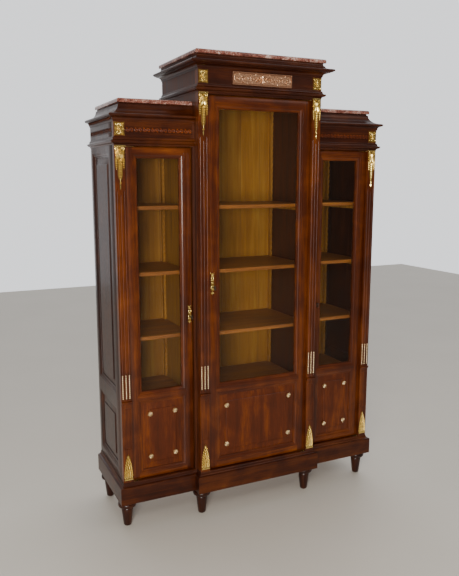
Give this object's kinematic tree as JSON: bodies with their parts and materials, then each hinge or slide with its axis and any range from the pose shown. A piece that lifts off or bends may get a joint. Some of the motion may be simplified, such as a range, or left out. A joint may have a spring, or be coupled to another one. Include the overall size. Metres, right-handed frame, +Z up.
{
  "type": "breakfront bookcase",
  "caption": "Breakfront display bookcase with glazed doors, loose shelves on toothed racks, moulded cornices, marble tops and gilt mounts.",
  "frame": {"origin": "on the floor, under the centre of the bounding box", "axes": "+X to the right seen from the front, +Y to the back, +Z up"},
  "size_m": [1.464, 0.529, 2.25],
  "materials": {
    "mahogany": "french polished",
    "inner_wood": "satin waxed",
    "back_boards": "waxed",
    "marble": "polished marble",
    "glass": "clear",
    "gilt_bronze": "gilt, chased",
    "brass": "dull",
    "dark_steel": "dark oiled"
  },
  "bodies": {
    "carcass": {"feet": "mahogany", "plinth": "mahogany", "base_decks": "inner_wood", "fixed_decks": "inner_wood", "top_boards": "inner_wood", "side_frames": "mahogany", "side_panels": "mahogany", "partitions": "mahogany", "back_panels": "back_boards", "pilasters_side": "mahogany", "pilasters_centre": "mahogany", "frieze_boards": "mahogany", "carved_bands": "mahogany", "architraves": "mahogany", "cornice_sides": "mahogany", "cornice_centre": "mahogany", "marble_sides": "marble", "marble_centre": "marble", "frieze_mounts": "gilt_bronze", "pilaster_mounts": "gilt_bronze", "pivot_plates": "brass", "racks": "inner_wood", "battens": "inner_wood"},
    "door_left": {"door_left_frame": "mahogany", "door_left_glass": "glass", "door_left_beads": "mahogany", "door_left_panel": "mahogany", "door_left_mounts": "gilt_bronze", "door_left_lock": "brass", "door_left_pivots": "brass"},
    "door_left_key": {"door_left_key": "dark_steel"},
    "door_left_bolt": {"door_left_bolt": "dark_steel"},
    "door_centre": {"door_centre_frame": "mahogany", "door_centre_glass": "glass", "door_centre_beads": "mahogany", "door_centre_panel": "mahogany", "door_centre_mounts": "gilt_bronze", "door_centre_lock": "brass", "door_centre_pivots": "brass"},
    "door_centre_key": {"door_centre_key": "dark_steel"},
    "door_centre_bolt": {"door_centre_bolt": "dark_steel"},
    "door_right": {"door_right_frame": "mahogany", "door_right_glass": "glass", "door_right_beads": "mahogany", "door_right_panel": "mahogany", "door_right_mounts": "gilt_bronze", "door_right_lock": "brass", "door_right_pivots": "brass"},
    "door_right_key": {"door_right_key": "dark_steel"},
    "door_right_bolt": {"door_right_bolt": "dark_steel"},
    "shelf_left_bottom": {"shelf_left_bottom": "inner_wood"},
    "shelf_left_middle": {"shelf_left_middle": "inner_wood"},
    "shelf_left_top": {"shelf_left_top": "inner_wood"},
    "shelf_centre_bottom": {"shelf_centre_bottom": "inner_wood"},
    "shelf_centre_middle": {"shelf_centre_middle": "inner_wood"},
    "shelf_centre_top": {"shelf_centre_top": "inner_wood"},
    "shelf_right_bottom": {"shelf_right_bottom": "inner_wood"},
    "shelf_right_middle": {"shelf_right_middle": "inner_wood"},
    "shelf_right_top": {"shelf_right_top": "inner_wood"}
  },
  "joints": [
    {"name": "door_left_hinge", "type": "hinge", "parent": "carcass", "child": "door_left", "pos_m": [-0.6515, -0.1625, 1], "axis": [0, 0, -1], "range_deg": [0, 105]},
    {"name": "door_left_key_turn", "type": "hinge", "parent": "door_left", "child": "door_left_key", "pos_m": [-0.3546, -0.1545, 1.024], "axis": [0, 1, 0], "range_deg": [0, 180]},
    {"name": "door_left_bolt_slide", "type": "slide", "parent": "door_left", "child": "door_left_bolt", "axis": [1, 0, 0], "range_m": [0, 0.008]},
    {"name": "door_centre_hinge", "type": "hinge", "parent": "carcass", "child": "door_centre", "pos_m": [0.2715, -0.2105, 1], "axis": [0, 0, 1], "range_deg": [0, 105]},
    {"name": "door_centre_key_turn", "type": "hinge", "parent": "door_centre", "child": "door_centre_key", "pos_m": [-0.255, -0.2025, 1.166], "axis": [0, 1, 0], "range_deg": [0, 180]},
    {"name": "door_centre_bolt_slide", "type": "slide", "parent": "door_centre", "child": "door_centre_bolt", "axis": [-1, 0, 0], "range_m": [0, 0.008]},
    {"name": "door_right_hinge", "type": "hinge", "parent": "carcass", "child": "door_right", "pos_m": [0.6515, -0.1625, 1], "axis": [0, 0, 1], "range_deg": [0, 105]},
    {"name": "door_right_key_turn", "type": "hinge", "parent": "door_right", "child": "door_right_key", "pos_m": [0.3546, -0.1545, 1.024], "axis": [0, 1, 0], "range_deg": [0, 180]},
    {"name": "door_right_bolt_slide", "type": "slide", "parent": "door_right", "child": "door_right_bolt", "axis": [-1, 0, 0], "range_m": [0, 0.008]},
    {"name": "shelf_left_bottom_lift", "type": "slide", "parent": "carcass", "child": "shelf_left_bottom", "axis": [0, 0, 1], "range_m": [0, 0.12]},
    {"name": "shelf_left_middle_lift", "type": "slide", "parent": "carcass", "child": "shelf_left_middle", "axis": [0, 0, 1], "range_m": [0, 0.12]},
    {"name": "shelf_left_top_lift", "type": "slide", "parent": "carcass", "child": "shelf_left_top", "axis": [0, 0, 1], "range_m": [0, 0.12]},
    {"name": "shelf_centre_bottom_lift", "type": "slide", "parent": "carcass", "child": "shelf_centre_bottom", "axis": [0, 0, 1], "range_m": [0, 0.12]},
    {"name": "shelf_centre_middle_lift", "type": "slide", "parent": "carcass", "child": "shelf_centre_middle", "axis": [0, 0, 1], "range_m": [0, 0.12]},
    {"name": "shelf_centre_top_lift", "type": "slide", "parent": "carcass", "child": "shelf_centre_top", "axis": [0, 0, 1], "range_m": [0, 0.12]},
    {"name": "shelf_right_bottom_lift", "type": "slide", "parent": "carcass", "child": "shelf_right_bottom", "axis": [0, 0, 1], "range_m": [0, 0.12]},
    {"name": "shelf_right_middle_lift", "type": "slide", "parent": "carcass", "child": "shelf_right_middle", "axis": [0, 0, 1], "range_m": [0, 0.12]},
    {"name": "shelf_right_top_lift", "type": "slide", "parent": "carcass", "child": "shelf_right_top", "axis": [0, 0, 1], "range_m": [0, 0.12]}
  ],
  "couplings": [
    {"joint": "door_left_bolt_slide", "follows": "door_left_key_turn", "m_per_rad": 0.002546},
    {"joint": "door_centre_bolt_slide", "follows": "door_centre_key_turn", "m_per_rad": 0.002546},
    {"joint": "door_right_bolt_slide", "follows": "door_right_key_turn", "m_per_rad": 0.002546}
  ]
}
